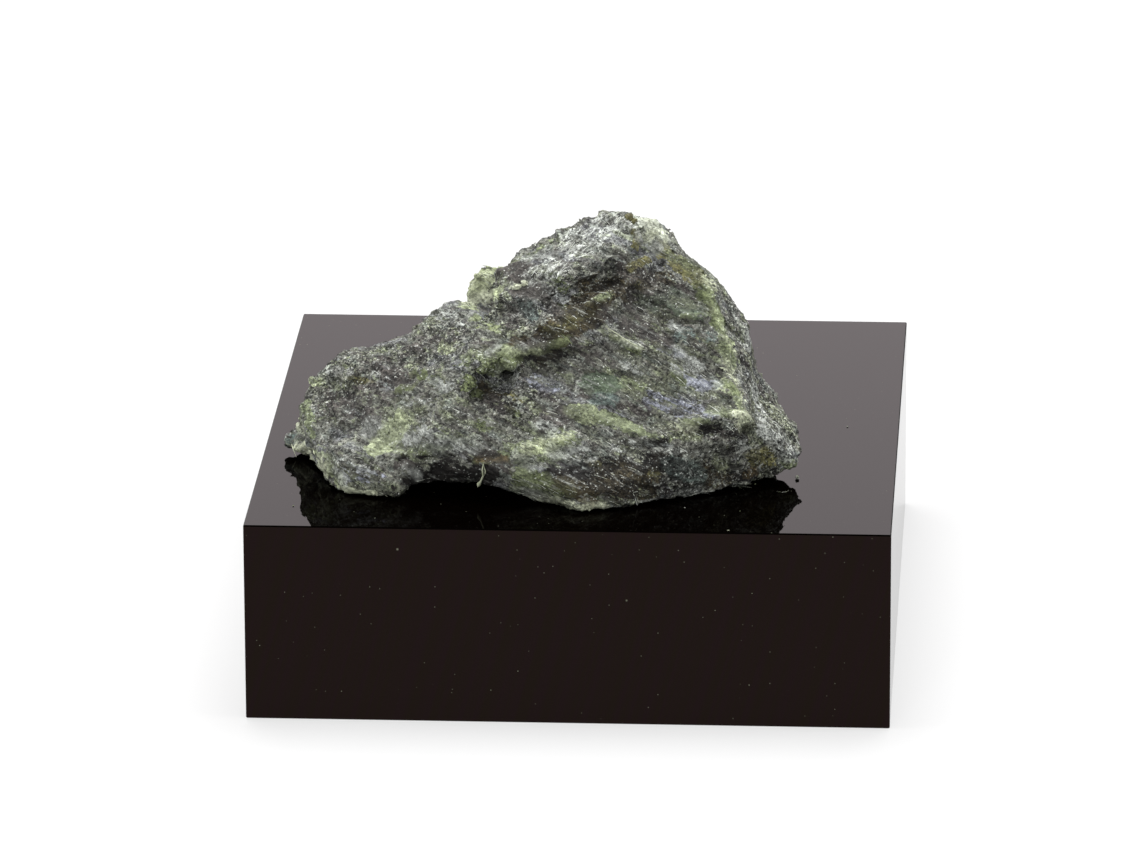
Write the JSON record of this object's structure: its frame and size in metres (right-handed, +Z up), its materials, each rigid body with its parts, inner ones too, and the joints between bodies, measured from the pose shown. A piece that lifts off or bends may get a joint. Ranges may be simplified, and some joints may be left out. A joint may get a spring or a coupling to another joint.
{
  "type": "mineral specimen on display block",
  "caption": "Broken lump of dark green fibrous serpentine rock with pale and yellow-green patches, lying on a polished black acrylic block.",
  "frame": {"origin": "under the middle of the display block, on the plane it stands on", "axes": "+X to the right as seen from the front, -Y to the front, +Z up"},
  "size_m": [0.0316, 0.0344, 0.0229],
  "materials": {
    "stone": "rough broken rock, dark grey-green with pale fibrous and yellow-green patches",
    "display_block": "polished black acrylic"
  },
  "bodies": {
    "root": {"stone": "stone", "display_block": "display_block"}
  },
  "joints": []
}
